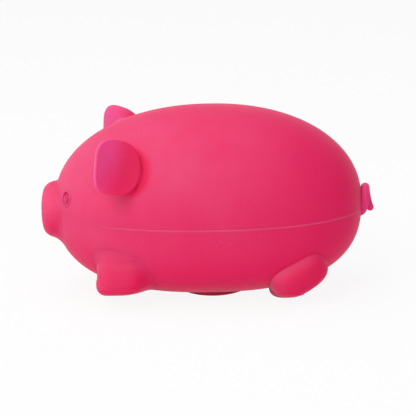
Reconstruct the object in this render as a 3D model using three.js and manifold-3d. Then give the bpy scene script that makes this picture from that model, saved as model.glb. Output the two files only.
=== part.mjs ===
// A pig squeeze toy: a soft moulded skin in two halves, bonded along a seam and filled with gel through a
// port in the belly. Snout, eyes, ears, legs and tail are solid lumps of the same rubber on that skin.
// Millimetres. The nose points along -X, the pig's left side along -Y, and +Z is up from the floor.
import * as THREE from 'three';
import { mergeVertices } from 'three/addons/utils/BufferGeometryUtils.js';
import Module from 'manifold-3d';

// Body: an egg lying on its side, measured from its widest section and its long axis
const NOSE_REACH = 51.6;
const RUMP_REACH = 49.9;
const HALF_WIDTH = 30.8;
const BACK_RISE = 32.2;
const BELLY_DROP = 28.5;
const BELLY_CLEARANCE = 1.0;
const SKIN_WALL = 3.0;
const SEAM_DROP = 1.4;
const FIT_GAP = 0.3;

// How full the egg's curves are: 2 is an ellipse, more is squarer
const BACK_FULLNESS = 2.13;
const BELLY_FULLNESS = 2.6;
const PLAN_FULLNESS = 2.18;
const BACK_ROUND = 2.0;
const BELLY_ROUND = 2.7;

// Snout: an oval stub on the nose
const SNOUT_REACH = 4.5;
const SNOUT_HEIGHT = 16.4;
const SNOUT_WIDTH = 18.8;
const SNOUT_FLARE = 2.6;
const SNOUT_CROWN = 1.2;
const SNOUT_EDGE = 2.0;
const SNOUT_DROP = 1.9;
const SNOUT_ROOT = 6.0;
const NOSTRIL_SPREAD = 7.4;
const NOSTRIL_HEIGHT = 4.6;
const NOSTRIL_WIDTH = 3.0;
const NOSTRIL_DEPTH = 1.2;

// Eyes: oval buttons let into the face, each with a rim and a pupil
const EYE_BEHIND_NOSE = 4.9;
const EYE_LIFT = 21;
const EYE_HEIGHT = 5.4;
const EYE_WIDTH = 4.0;
const EYE_SEAT = 1.0;
const EYE_RIM = 0.7;
const EYE_RIM_PROUD = 0.6;
const EYE_PUPIL = 1.8;
const EYE_PUPIL_PROUD = 0.5;

// Ears: cupped flaps whose hollow side looks out and a little back
const EAR_BEHIND_NOSE = 24.5;
const EAR_LIFT = 33.8;
const EAR_STANDOFF = 6.3;
const EAR_HEIGHT = 17.4;
const EAR_LENGTH = 16.4;
const EAR_THICKNESS = 2.8;
const EAR_CUP = 2.6;
const EAR_BULGE = 5.4;
const EAR_SPIN = 15;
const EAR_TURN = 31;
const EAR_LEAN = 17;
const EAR_FRONT_CORNER = 3.2;
const EAR_BACK_CORNER = 2.1;
const EAR_EDGE_POWER = 0.7;

// Front legs: upright stubs with flat sides, turned a little towards the nose
const FRONT_LEG_BEHIND_NOSE = 24.1;
const FRONT_LEG_INSET = 12.5;
const FRONT_LEG_RISE = 8.8;
const FRONT_LEG_HEIGHT = 24.2;
const FRONT_LEG_LENGTH = 18.2;
const FRONT_LEG_WIDTH = 25.0;
const FRONT_LEG_SPLAY = -2;
const FRONT_LEG_SLOPE = -3;
const FRONT_LEG_TURN = -15;
const FRONT_LEG_FULLNESS = 3.2;

// Rear legs: long leaves that slope from the haunch down to the toe, turned a little towards the tail,
// each over a small foot
const REAR_LEG_BEFORE_RUMP = 23.1;
const REAR_LEG_INSET = 9.0;
const REAR_LEG_RISE = 11.0;
const REAR_LEG_LENGTH = 20.3;
const REAR_LEG_WIDTH = 17.0;
const REAR_LEG_HEIGHT = 14.5;
const REAR_LEG_SPLAY = 12;
const REAR_LEG_SLOPE = 30;
const REAR_LEG_TURN = 14;
const REAR_LEG_FULLNESS = 2.9;
const REAR_FOOT_BEFORE_RUMP = 25.7;
const REAR_FOOT_INSET = 15.2;
const REAR_FOOT_RISE = 5.0;
const REAR_FOOT_LENGTH = 12.0;
const REAR_FOOT_WIDTH = 16.0;
const REAR_FOOT_HEIGHT = 12.0;
const REAR_FOOT_FULLNESS = 2.6;

// Soles: flat on the floor up to this far from the toy's middle, and lifted outside that
const FRONT_SOLE_REACH = 9.2;
const REAR_SOLE_REACH = 15.4;
const SOLE_LIFT = 19;
const FRONT_HEEL_LIFT = 16;

// Tail: a tapered cord wound once round an axis that points back, with its tip turned out
const TAIL_REACH = 4.0;
const TAIL_RISE = -0.4;
const TAIL_COIL = 7.8;
const TAIL_START = -0.12;
const TAIL_END = 0.97;
const TAIL_DEPTH = 2.9;
const TAIL_LEAVE = 6.0;
const TAIL_FLIP = 3.1;
const TAIL_FLIP_BEND = 2.2;
const TAIL_ROOT_THICKNESS = 3.8;
const TAIL_TIP_THICKNESS = 2.4;
const TAIL_SWING = 15;

// Fill port in the belly, its stopper and the patch bonded over both
const PORT_BORE = 10.0;
const PORT_BEHIND_SECTION = 0.5;
const PLUG_LIP = 3.0;
const PLUG_FLANGE = 1.6;
const PATCH_DIAMETER = 24.4;
const PATCH_THICKNESS = 1.9;
const PATCH_EDGE = 0.6;

// Facets
const BODY_AROUND = 44;
const BODY_LENGTHWISE = 26;
const CORE_AROUND = 28;
const CORE_LENGTHWISE = 18;
const LOBE_AROUND = 22;
const LOBE_LENGTHWISE = 14;
const EAR_AROUND = 26;
const DENT_AROUND = 14;
const DENT_LENGTHWISE = 8;
const ROUND_STEPS = 28;
const TAIL_SIDES = 8;
const TAIL_STEPS = 40;
const COIL_STEPS = 24;

const PINK = 0xec3a70;
const GEL_PINK = 0xf2c9d4;

const wasm = await Module();
wasm.setup();

const axisHeight = BELLY_DROP + BELLY_CLEARANCE;
const overallLength = SNOUT_REACH + NOSE_REACH + RUMP_REACH + TAIL_REACH;
const floorZ = -axisHeight;
const seamZ = -SEAM_DROP;
const portX = PORT_BEHIND_SECTION;
const patchSeatZ = floorZ + PATCH_THICKNESS + FIT_GAP;
const farOut = 2 * overallLength;
const radians = THREE.MathUtils.degToRad;

// A closed geometry as a solid that can be cut and joined
function solid(geometry) {
  const bare = geometry.clone();
  bare.deleteAttribute('normal');
  bare.deleteAttribute('uv');
  const merged = mergeVertices(bare, 1e-4);
  const vertProperties = new Float32Array(merged.attributes.position.array);
  const triVerts = new Uint32Array(merged.index.array);
  return new wasm.Manifold(new wasm.Mesh({ numProp: 3, vertProperties, triVerts }));
}

function geometryOf(shape) {
  const { vertProperties, triVerts } = shape.getMesh();
  const geometry = new THREE.BufferGeometry();
  geometry.setAttribute('position', new THREE.BufferAttribute(vertProperties, 3));
  geometry.setIndex(new THREE.BufferAttribute(triVerts, 1));
  geometry.computeVertexNormals();
  return geometry;
}

// The same geometry on the pig's other side
function mirrored(geometry) {
  const other = geometry.clone().scale(1, -1, 1);
  const index = other.index.array;
  for (let i = 0; i < index.length; i += 3) {
    [index[i + 1], index[i + 2]] = [index[i + 2], index[i + 1]];
  }
  other.computeVertexNormals();
  return other;
}

function box(low, high) {
  const size = high.clone().sub(low);
  const middle = low.clone().add(high).multiplyScalar(0.5);
  return new THREE.BoxGeometry(size.x, size.y, size.z).translate(middle.x, middle.y, middle.z);
}

// Everything above or below a level
const farLow = new THREE.Vector3(-farOut, -farOut, -farOut);
const farHigh = new THREE.Vector3(farOut, farOut, farOut);
const above = (z) => solid(box(farLow.clone().setZ(z), farHigh));
const below = (z) => solid(box(farLow, farHigh.clone().setZ(z)));

// A turned shape about the Z axis from [radius, height] pairs that start and end on the axis, going up
function turned(profile, steps = ROUND_STEPS) {
  const points = profile.map(([radius, height]) => new THREE.Vector2(radius, height));
  return new THREE.LatheGeometry(points, steps).rotateX(Math.PI / 2);
}

function cylinder(radius, low, high) {
  return turned([[0, low], [radius, low], [radius, high], [0, high]]);
}

const signedPower = (value, power) => Math.sign(value) * Math.abs(value) ** power;
const swell = (along, fullness) => Math.max(0, 1 - Math.abs(along) ** fullness) ** (1 / fullness);

// Half sizes of the body's section at a share of its reach, -1 at the nose and 1 at the rump
function section(along, grow) {
  return {
    width: (HALF_WIDTH + grow) * swell(along, PLAN_FULLNESS),
    rise: (BACK_RISE + grow) * swell(along, BACK_FULLNESS),
    drop: (BELLY_DROP + grow) * swell(along, BELLY_FULLNESS),
  };
}

// The point of the body at an angle up from the pig's left side
function bodyPoint(along, angle, grow) {
  const { width, rise, drop } = section(along, grow);
  const up = Math.sin(angle);
  const round = up < 0 ? BELLY_ROUND : BACK_ROUND;
  const reach = (along < 0 ? NOSE_REACH : RUMP_REACH) + grow;
  return new THREE.Vector3(
    reach * along,
    -width * signedPower(Math.cos(angle), 2 / round),
    (up < 0 ? drop : rise) * signedPower(up, 2 / round),
  );
}

const alongAt = (x) => x / (x < 0 ? NOSE_REACH : RUMP_REACH);
const skinPoint = (x, lift) => bodyPoint(alongAt(x), radians(lift), 0);

// Which way the skin faces at a place, from two steps along it
function skinNormal(x, lift) {
  const step = 0.5;
  const here = skinPoint(x, lift);
  const forward = skinPoint(x - step, lift).sub(here);
  const higher = skinPoint(x, lift + step).sub(here);
  return higher.cross(forward).normalize();
}

// Height of the belly skin under a point
function bellyAt(x, y, grow) {
  const { width, drop } = section(alongAt(x), grow);
  return -drop * swell(y / width, BELLY_ROUND);
}

// The whole body, grown or shrunk evenly
function egg(grow, around = BODY_AROUND, lengthwise = BODY_LENGTHWISE) {
  const geometry = new THREE.SphereGeometry(1, around, lengthwise).rotateZ(-Math.PI / 2);
  const position = geometry.attributes.position;
  for (let i = 0; i < position.count; i++) {
    const angle = Math.atan2(position.getZ(i), -position.getY(i));
    const point = bodyPoint(THREE.MathUtils.clamp(position.getX(i), -1, 1), angle, grow);
    position.setXYZ(i, point.x, point.y, point.z);
  }
  return geometry;
}

const outside = solid(egg(0));
const inside = solid(egg(-SKIN_WALL, CORE_AROUND, CORE_LENGTHWISE));
const seat = solid(egg(FIT_GAP));

// Snout: crowned face, rounded edge and a flare into the face, turned and then drawn out into an oval
function snout() {
  const radius = SNOUT_HEIGHT / 2;
  const front = NOSE_REACH + SNOUT_REACH;
  const shoulder = front - SNOUT_CROWN - SNOUT_EDGE;
  const profile = [[0, NOSE_REACH - SNOUT_ROOT], [radius + SNOUT_FLARE, NOSE_REACH - SNOUT_ROOT]];
  for (const angle of [0, 30, 60, 90]) {
    const turn = radians(angle);
    profile.push([radius - SNOUT_EDGE * (1 - Math.cos(turn)), shoulder + SNOUT_EDGE * Math.sin(turn)]);
  }
  for (const share of [2 / 3, 1 / 3]) {
    profile.push([(radius - SNOUT_EDGE) * share, front - SNOUT_CROWN * share ** 2]);
  }
  profile.push([0, front]);
  const stub = turned(profile).scale(1, SNOUT_WIDTH / SNOUT_HEIGHT, 1).rotateY(-Math.PI / 2);
  let shape = solid(stub.translate(0, 0, -SNOUT_DROP)).subtract(seat);
  for (const side of [-1, 1]) {
    const dent = new THREE.SphereGeometry(1, DENT_AROUND, DENT_LENGTHWISE);
    dent.scale(2 * NOSTRIL_DEPTH, NOSTRIL_WIDTH / 2, NOSTRIL_HEIGHT / 2);
    const place = (side * NOSTRIL_SPREAD) / 2;
    const face = front - SNOUT_CROWN * (NOSTRIL_SPREAD / SNOUT_WIDTH) ** 2;
    shape = shape.subtract(solid(dent.translate(-face - NOSTRIL_DEPTH, place, -SNOUT_DROP)));
  }
  return geometryOf(shape);
}

// An upright oval with its Z axis turned to the skin's outward direction at the eye
function eyeOval(profile) {
  const x = EYE_BEHIND_NOSE - NOSE_REACH;
  const out = skinNormal(x, EYE_LIFT);
  const across = new THREE.Vector3(0, 0, 1).cross(out).normalize();
  const up = out.clone().cross(across);
  const place = new THREE.Matrix4().makeBasis(across, up, out).setPosition(skinPoint(x, EYE_LIFT));
  return turned(profile).scale(EYE_WIDTH / EYE_HEIGHT, 1, 1).applyMatrix4(place);
}

function eye() {
  const radius = EYE_HEIGHT / 2;
  const hollow = radius - EYE_RIM;
  const pupil = EYE_PUPIL / 2;
  return eyeOval([
    [0, -EYE_SEAT],
    [radius, -EYE_SEAT],
    [radius, EYE_RIM_PROUD / 2],
    [radius - EYE_RIM / 2, EYE_RIM_PROUD],
    [hollow, EYE_RIM_PROUD / 2],
    [hollow - EYE_RIM / 2, 0],
    [pupil, 0],
    [pupil * Math.SQRT1_2, EYE_PUPIL_PROUD * Math.SQRT1_2],
    [0, EYE_PUPIL_PROUD],
  ]);
}

function eyeSocket() {
  const radius = EYE_HEIGHT / 2 + FIT_GAP;
  const depth = EYE_SEAT + FIT_GAP;
  return eyeOval([[0, -depth], [radius, -depth], [radius, EYE_HEIGHT], [0, EYE_HEIGHT]]);
}

// Ear: a petal with its hollow side out and its bulging back grown onto the head, turned back and leant up
function ear() {
  const geometry = new THREE.SphereGeometry(1, EAR_AROUND, LOBE_LENGTHWISE);
  const position = geometry.attributes.position;
  for (let i = 0; i < position.count; i++) {
    const [x, y, z] = [position.getX(i), position.getY(i), position.getZ(i)];
    const spread = Math.hypot(x, z);
    const fullness = x > 0 ? EAR_BACK_CORNER : EAR_FRONT_CORNER;
    const corner = spread > 0 ? cornered(fullness, x / spread, z / spread) : 1;
    const thick = signedPower(y, EAR_EDGE_POWER) * (EAR_THICKNESS / 2);
    const cup = (y < 0 ? EAR_CUP : EAR_BULGE) * (1 - spread ** 2);
    position.setXYZ(i, (x * corner * EAR_LENGTH) / 2, thick + cup, (z * corner * EAR_HEIGHT) / 2);
  }
  const root = EAR_BEHIND_NOSE - NOSE_REACH;
  const centre = skinPoint(root, EAR_LIFT).addScaledVector(skinNormal(root, EAR_LIFT), EAR_STANDOFF);
  geometry.rotateY(radians(EAR_SPIN)).rotateX(-radians(EAR_LEAN)).rotateZ(radians(EAR_TURN));
  geometry.translate(centre.x, centre.y, centre.z);
  return geometryOf(solid(geometry).subtract(seat));
}

// How far a form with full corners stands out in a direction, against a circle or a ball
function cornered(fullness, ...direction) {
  const total = direction.reduce((sum, share) => sum + Math.abs(share) ** fullness, 0);
  return 1 / total ** (1 / fullness);
}

// A lobe along X, leant, sloped and turned; a fullness of 2 is an ellipsoid
function lobe({ length, width, height, fullness, splay = 0, slope = 0, turn = 0 }) {
  const geometry = new THREE.SphereGeometry(1, LOBE_AROUND, LOBE_LENGTHWISE).rotateZ(-Math.PI / 2);
  const position = geometry.attributes.position;
  for (let i = 0; i < position.count; i++) {
    const at = new THREE.Vector3().fromBufferAttribute(position, i);
    at.multiplyScalar(cornered(fullness, at.x, at.y, at.z));
    position.setXYZ(i, (at.x * length) / 2, (at.y * width) / 2, (at.z * height) / 2);
  }
  return geometry.rotateX(radians(splay)).rotateY(-radians(slope)).rotateZ(radians(turn));
}

// A lobe over the floor, at a place along the body and inwards from the body's side
function placed(geometry, x, inset, rise) {
  return solid(geometry.translate(x, inset - section(alongAt(x), 0).width, floorZ + rise));
}

// Everything over a plane that rises outwards and backwards from a place on the floor
function overSlope(x, y, outwards, backwards) {
  const over = box(farLow.clone().setZ(0), farHigh);
  over.rotateX(-radians(outwards)).rotateY(-radians(backwards));
  return solid(over.translate(x, y, floorZ));
}

// A leg stands on the floor with its sole and fits against the skin
function leg(shape, soleReach) {
  const overSole = above(floorZ).intersect(overSlope(0, -soleReach, SOLE_LIFT, 0));
  return shape.subtract(seat).intersect(overSole);
}

function frontLeg() {
  const stub = lobe({
    length: FRONT_LEG_LENGTH,
    width: FRONT_LEG_WIDTH,
    height: FRONT_LEG_HEIGHT,
    fullness: FRONT_LEG_FULLNESS,
    splay: FRONT_LEG_SPLAY,
    slope: FRONT_LEG_SLOPE,
    turn: FRONT_LEG_TURN,
  });
  const place = FRONT_LEG_BEHIND_NOSE - NOSE_REACH;
  const whole = leg(placed(stub, place, FRONT_LEG_INSET, FRONT_LEG_RISE), FRONT_SOLE_REACH);
  return geometryOf(whole.intersect(overSlope(place, 0, 0, FRONT_HEEL_LIFT)));
}

function rearLeg() {
  const leaf = lobe({
    length: REAR_LEG_LENGTH,
    width: REAR_LEG_WIDTH,
    height: REAR_LEG_HEIGHT,
    fullness: REAR_LEG_FULLNESS,
    splay: REAR_LEG_SPLAY,
    slope: REAR_LEG_SLOPE,
    turn: REAR_LEG_TURN,
  });
  const foot = lobe({
    length: REAR_FOOT_LENGTH,
    width: REAR_FOOT_WIDTH,
    height: REAR_FOOT_HEIGHT,
    fullness: REAR_FOOT_FULLNESS,
  });
  const upper = placed(leaf, RUMP_REACH - REAR_LEG_BEFORE_RUMP, REAR_LEG_INSET, REAR_LEG_RISE);
  const lower = placed(foot, RUMP_REACH - REAR_FOOT_BEFORE_RUMP, REAR_FOOT_INSET, REAR_FOOT_RISE);
  return geometryOf(leg(upper.add(lower), REAR_SOLE_REACH));
}

// A round cord along a curve, with its own radius at each step and closed ends
function taperedCord(curve, radiusAt) {
  const frames = curve.computeFrenetFrames(TAIL_STEPS, false);
  const points = [];
  const index = [];
  for (let step = 0; step <= TAIL_STEPS; step++) {
    const share = step / TAIL_STEPS;
    const centre = curve.getPointAt(share);
    for (let side = 0; side < TAIL_SIDES; side++) {
      const angle = (side / TAIL_SIDES) * 2 * Math.PI;
      const out = frames.normals[step].clone().multiplyScalar(Math.cos(angle));
      out.addScaledVector(frames.binormals[step], Math.sin(angle));
      points.push(...centre.clone().addScaledVector(out, radiusAt(share)).toArray());
    }
  }
  const ring = (step, side) => step * TAIL_SIDES + (side % TAIL_SIDES);
  for (let step = 0; step < TAIL_STEPS; step++) {
    for (let side = 0; side < TAIL_SIDES; side++) {
      index.push(ring(step, side), ring(step, side + 1), ring(step + 1, side + 1));
      index.push(ring(step, side), ring(step + 1, side + 1), ring(step + 1, side));
    }
  }
  for (let side = 1; side < TAIL_SIDES - 1; side++) {
    index.push(ring(0, 0), ring(0, side + 1), ring(0, side));
    index.push(ring(TAIL_STEPS, 0), ring(TAIL_STEPS, side), ring(TAIL_STEPS, side + 1));
  }
  const geometry = new THREE.BufferGeometry();
  geometry.setAttribute('position', new THREE.Float32BufferAttribute(points, 3));
  geometry.setIndex(index);
  return geometry;
}

// Tail: out of the rump at the bottom, up the pig's left side, over and down, trimmed so that it can swing
function tail() {
  const radius = TAIL_COIL / 2;
  const root = TAIL_ROOT_THICKNESS / 2;
  const tip = TAIL_TIP_THICKNESS / 2;
  const path = [];
  for (let i = 0; i <= COIL_STEPS; i++) {
    const share = i / COIL_STEPS;
    const angle = (TAIL_START + share * (TAIL_END - TAIL_START)) * 2 * Math.PI;
    const out = TAIL_DEPTH * (1 - (1 - share) ** TAIL_LEAVE) + TAIL_FLIP * share ** TAIL_FLIP_BEND;
    path.push(new THREE.Vector3(out, -radius * Math.sin(angle), -radius * Math.cos(angle)));
  }
  const cord = taperedCord(new THREE.CatmullRomCurve3(path), (share) => root + (tip - root) * share);
  cord.computeBoundingBox();
  cord.translate(RUMP_REACH + TAIL_REACH - cord.boundingBox.max.x, 0, TAIL_RISE);
  let shape = solid(cord).subtract(seat);
  for (const swing of [-TAIL_SWING, TAIL_SWING]) {
    const turnedBody = egg(FIT_GAP).translate(-RUMP_REACH, 0, 0).rotateZ(radians(swing));
    shape = shape.subtract(solid(turnedBody.translate(RUMP_REACH, 0, 0)));
  }
  return geometryOf(shape);
}

// Stopper: a flange inside the belly and a stem that fills the port
const flangeRadius = PORT_BORE / 2 + PLUG_LIP;
const flangeLow = bellyAt(portX, flangeRadius, -SKIN_WALL) + FIT_GAP;
const flangeHigh = flangeLow + PLUG_FLANGE;

function fillPlug() {
  const stem = PORT_BORE / 2 - FIT_GAP;
  const profile = [
    [0, patchSeatZ],
    [stem, patchSeatZ],
    [stem, flangeLow],
    [flangeRadius, flangeLow],
    [flangeRadius, flangeHigh],
    [0, flangeHigh],
  ];
  return turned(profile).translate(portX, 0, 0);
}

// Patch: a disc bonded in a flat seat over the port, with a rounded lower edge
function bellyPatch() {
  const radius = PATCH_DIAMETER / 2;
  const top = floorZ + PATCH_THICKNESS;
  const profile = [[0, floorZ]];
  for (const angle of [-90, -45, 0]) {
    const turn = radians(angle);
    profile.push([radius - PATCH_EDGE * (1 - Math.cos(turn)), floorZ + PATCH_EDGE * (1 + Math.sin(turn))]);
  }
  profile.push([radius, top], [0, top]);
  return turned(profile).translate(portX, 0, 0);
}

function skinUpper() {
  const socket = solid(eyeSocket());
  const otherSocket = solid(mirrored(eyeSocket()));
  const half = outside.subtract(inside).intersect(above(seamZ + FIT_GAP / 2));
  return geometryOf(half.subtract(socket).subtract(otherSocket));
}

function skinLower() {
  const port = cylinder(PORT_BORE / 2, floorZ, flangeHigh).translate(portX, 0, 0);
  const patchSeat = cylinder(PATCH_DIAMETER / 2 + FIT_GAP, floorZ, patchSeatZ).translate(portX, 0, 0);
  const half = outside.subtract(inside).intersect(below(seamZ - FIT_GAP / 2));
  return geometryOf(half.subtract(solid(port)).subtract(solid(patchSeat)));
}

function gelFilling() {
  const room = cylinder(flangeRadius + FIT_GAP, -BELLY_DROP, flangeHigh + FIT_GAP).translate(portX, 0, 0);
  const core = solid(egg(-SKIN_WALL - FIT_GAP, CORE_AROUND, CORE_LENGTHWISE));
  return geometryOf(core.subtract(solid(room)));
}

const rubber = new THREE.MeshStandardMaterial({ color: PINK, roughness: 0.62, metalness: 0 });
const gel = new THREE.MeshStandardMaterial({ color: GEL_PINK, roughness: 0.2, metalness: 0 });

// The body frame stands over the floor so that the toy is centred on the origin
const pig = new THREE.Group();
pig.position.set(SNOUT_REACH + NOSE_REACH - overallLength / 2, 0, axisHeight);

function addPiece(name, geometry, material = rubber) {
  const piece = new THREE.Mesh(geometry, material.clone());
  piece.name = name;
  pig.add(piece);
}

addPiece('skin_upper', skinUpper());
addPiece('skin_lower', skinLower());
addPiece('gel_filling', gelFilling(), gel);
addPiece('fill_plug', fillPlug());
addPiece('belly_patch', bellyPatch());
addPiece('snout', snout());
addPiece('tail', tail());
const paired = { eye: eye(), ear: ear(), leg_front: frontLeg(), leg_rear: rearLeg() };
for (const [name, geometry] of Object.entries(paired)) {
  addPiece(`${name}_left`, geometry);
  addPiece(`${name}_right`, mirrored(geometry));
}

const toy = new THREE.Group();
toy.add(pig);

export default toy;
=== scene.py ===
"""A soft pig squeeze toy: skin, snout, eyes, ears, legs, tail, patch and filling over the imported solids."""
import math
from operator import attrgetter
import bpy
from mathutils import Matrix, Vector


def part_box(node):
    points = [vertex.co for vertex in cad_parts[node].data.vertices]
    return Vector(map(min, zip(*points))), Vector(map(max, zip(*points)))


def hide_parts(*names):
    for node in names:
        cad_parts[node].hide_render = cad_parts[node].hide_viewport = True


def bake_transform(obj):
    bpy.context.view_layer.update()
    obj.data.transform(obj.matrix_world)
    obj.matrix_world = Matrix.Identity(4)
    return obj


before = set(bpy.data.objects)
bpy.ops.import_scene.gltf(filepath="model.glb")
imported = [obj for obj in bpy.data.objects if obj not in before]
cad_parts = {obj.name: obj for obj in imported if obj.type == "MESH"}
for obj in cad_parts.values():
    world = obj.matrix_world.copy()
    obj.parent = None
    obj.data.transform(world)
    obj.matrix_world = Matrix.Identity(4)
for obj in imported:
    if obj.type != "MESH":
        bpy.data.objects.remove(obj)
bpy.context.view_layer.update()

from types import SimpleNamespace

import bmesh
import bpy
import numpy as np
from bpy.props import FloatProperty, FloatVectorProperty, IntProperty, PointerProperty
from mathutils import Matrix, Vector

bl_info = {
    "name": "Pig Squeeze Toy",
    "version": (1, 0, 0),
    "blender": (4, 5, 0),
    "location": "View3D > Sidebar > Pig",
    "description": "Builds a soft gel-filled pig and its studio over the packed solids",
    "category": "Object",
}

# A millimetre in metres, and a number that keeps a division away from 0
MM = 0.001
TINY = 1e-6
SEAM = (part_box("skin_upper")[0].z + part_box("skin_lower")[1].z) / 2

# Where the left ear bends, and the line it bends about
EAR_HINGE = (-22.47 * MM, -26.68 * MM, 40.65 * MM)
EAR_HINGE_LINE = (0.575, 0.231, 0.785)

# How far a lump's skirt lies under the skin, and how deep its root goes
SKIRT_DEPTH = 0.02 * MM
ROOT_DEPTH = 1.6 * MM

# How fine the trees' meshes and the lumps' grids are
SKIN_MESH = {"around": 300, "lengthwise": 170}
GEL_MESH = {"around": 64, "lengthwise": 40}
BEAD_MESH = {"steps": 400, "sides": 16}
LUMP_PITCH = 0.36 * MM
EAR_PITCH = 0.33 * MM
EYE_PITCH = 0.12 * MM
PATCH_PITCH = 0.22 * MM

# Room for each lump's grid: from the snout's tip, round the middle of an eye, ear or leg, and past the patch
SNOUT_AHEAD = (1 * MM, 17 * MM, 15 * MM)
SNOUT_BEHIND = (8 * MM, 17 * MM, 15 * MM)
EYE_ROOM = 4.2 * MM
EAR_ROOM = 14.5 * MM
LEG_ROOM = np.array([16, 17, 14]) * MM
LEG_UNDER = -0.8 * MM
PATCH_ROOM = 1 * MM
PATCH_OVER = 0.6 * MM

# Fillets and rounded edges inside the forms
EAR_ROOT_FILLET = 0.8 * MM
FOOT_FILLET = 1.0 * MM
NOSTRIL_EDGE = 0.8 * MM
LID_FILLET = 0.5 * MM
DISC_EDGE = 0.2 * MM
PUPIL_FILLET = 0.3 * MM

# The snout's fillet, how much wider it gets and how far down, and shares for its edge and nostrils
SNOUT_FILLET = 0.35 * MM
SNOUT_LOW_FILLET = 2.2 * MM
SNOUT_LOW = 8 * MM
SNOUT_EDGE = 1.2
NOSTRIL_REACH = 1.6

# The eye: its lid's reach, its rim's sink, its pupil's height over its width, and where and how its seat ends
LID_REACH = 1.4 * MM
RIM_SINK = 0.1 * MM
PUPIL_TALL = 1.25
SEAT_EDGE = 0.85
SEAT_WALL = 0.25
SEAT_REACH = 2 * MM

# The groove round the patch: how far in it lies and its half width
GROOVE_INSET = 1.6 * MM
GROOVE = 0.3 * MM

# How far a lump reaches over the skin past its fillet
SNOUT_MARGIN = 3.0 * MM
EAR_MARGIN = 0.4 * MM
LEG_MARGIN = 1.0 * MM

# The share of a leg's length before its middle where its heel starts to rise, and its welt's arch
HEEL_LEAD = 0.14
WELT_ARCH = 40 * MM

# Ramps from 0 to 1: where each starts and how wide it is
WELT_STEP = (1.2 * MM, 0.4 * MM)
LEG_BEHIND = (-0.5, 1)
LEG_LOW = (2 * MM, 8 * MM)
LEG_TOP = (13 * MM, 6 * MM)
LEG_SHADE_HEIGHT = (6 * MM, 6 * MM)
LEG_SHADE_DEPTH = (0, 3 * MM)
BEHIND_EAR = (2 * MM, 4 * MM)
BELOW_EAR = (5.1 * MM, 3 * MM)
EAR_CREASE = (1.2 * MM, 2.4 * MM)
EAR_ROOT_CREASE = (0.3 * MM, 1.6 * MM)
EAR_THIN = (0.5, 1.2)
EAR_SHADE = (-0.2, 1.2)
EAR_SHADE_DEPTH = (0, 4 * MM)
LEG_CREASE = (0.2 * MM, 1.5 * MM)
RIDGE_BEND = (150, 700)

# How strong the painted shades in creases, on the legs and on the ears are, how far an ear's painted shade
# leans, and how much less painted light its ridge lets through
LEG_CREASE_SHARE = 0.9
LEG_SHADE_SHARE = 0.3
EYE_CREASE_SHARE = 0.7
EAR_SHADE_SHARE = 0.55
EAR_SHADE_LEAN = 0.3
EAR_RIDGE_SHARE = 0.4

# Where the bead starts to sink towards the nose, as a share of its ring, and how far it sinks
BEAD_SINK_FROM = -0.5
BEAD_SINK = 0.65 * MM

# How sharply the tail leaves the rump and flips out, where its round tip starts and how blunt it is
TAIL_LEAVE = 6.0
TAIL_FLIP = 2.2
TAIL_END = 0.95
TAIL_BLUNT = 0.02

# The filling's distance from the skin and the stopper, and the angle from which an edge is a hard one
GEL_CLEARANCE = 0.3 * MM
SHARP_ANGLE = math.radians(40)


def length(name, description, mm):
    """A size that a user would change."""
    return FloatProperty(name=name, description=description, default=mm * MM, unit="LENGTH", precision=5)


def lengths(name, description, *mm):
    """A place or three sizes that a user would change."""
    default = tuple(size * MM for size in mm)
    return FloatVectorProperty(
        name=name, description=description, default=default, unit="LENGTH", precision=5
    )


def angle(name, description, degrees):
    """An angle that a user would change."""
    return FloatProperty(name=name, description=description, default=math.radians(degrees), subtype="ANGLE")


def share(name, description, default):
    """A plain number that a user would change."""
    return FloatProperty(name=name, description=description, default=default)


def colour(name, description, *default):
    """A colour that a user would change."""
    return FloatVectorProperty(
        name=name, description=description, default=default, subtype="COLOR", min=0, max=1
    )


class PigBody(bpy.types.PropertyGroup):
    """The plump body: an egg lying on its side."""

    section_x: length("Widest section", "Place of the widest section along the toy", 1.1)
    axis_height: length("Axis height", "Height of the body's long axis", 29.5)
    nose_reach: length("Nose reach", "From the widest section to the nose", 51.6)
    rump_reach: length("Rump reach", "From the widest section to the rump", 49.9)
    half_width: length("Half width", "From the middle to either side", 30.8)
    back_rise: length("Back rise", "From the axis to the top of the back", 32.2)
    belly_drop: length("Belly drop", "From the axis to the belly", 28.5)
    plan_fullness: share("Plan fullness", "2 is an ellipse from above, more is squarer", 2.18)
    back_fullness: share("Back fullness", "2 is an ellipse from the side, more is squarer", 2.13)
    belly_fullness: share("Belly fullness", "2 is an ellipse from the side, more is squarer", 2.6)
    back_round: share("Back round", "2 is an ellipse across, more is squarer", 2.0)
    belly_round: share("Belly round", "2 is an ellipse across, more is squarer", 2.7)
    wall: length("Skin wall", "Thickness of the skin", 3.0)
    bead_radius: length("Bead radius", "Half width of the bead along the joint", 0.42)
    bead_proud: length("Bead height", "How far the bead stands out of the skin", 0.13)


class PigSnout(bpy.types.PropertyGroup):
    """The oval stub on the nose."""

    reach: length("Reach", "How far the snout stands out of the nose", 4.5)
    height: length("Height", "Height of the snout", 16.4)
    width: length("Width", "Width of the snout", 18.8)
    drop: length("Drop", "How far its middle is under the body's axis", 1.9)
    root: length("Root", "How far it goes into the head", 6.0)
    flare: length("Flare", "How much wider it is at its root, on each side", 2.6)
    crown: length("Crown", "Bulge of its front", 1.2)
    edge: length("Edge", "Rounding of its front edge", 2.0)
    nostril_spread: length("Nostril spread", "Distance between the nostrils", 7.4)
    nostril_height: length("Nostril height", "Height of a nostril", 4.6)
    nostril_width: length("Nostril width", "Width of a nostril", 3.0)
    nostril_depth: length("Nostril depth", "Depth of a nostril", 1.2)


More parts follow.
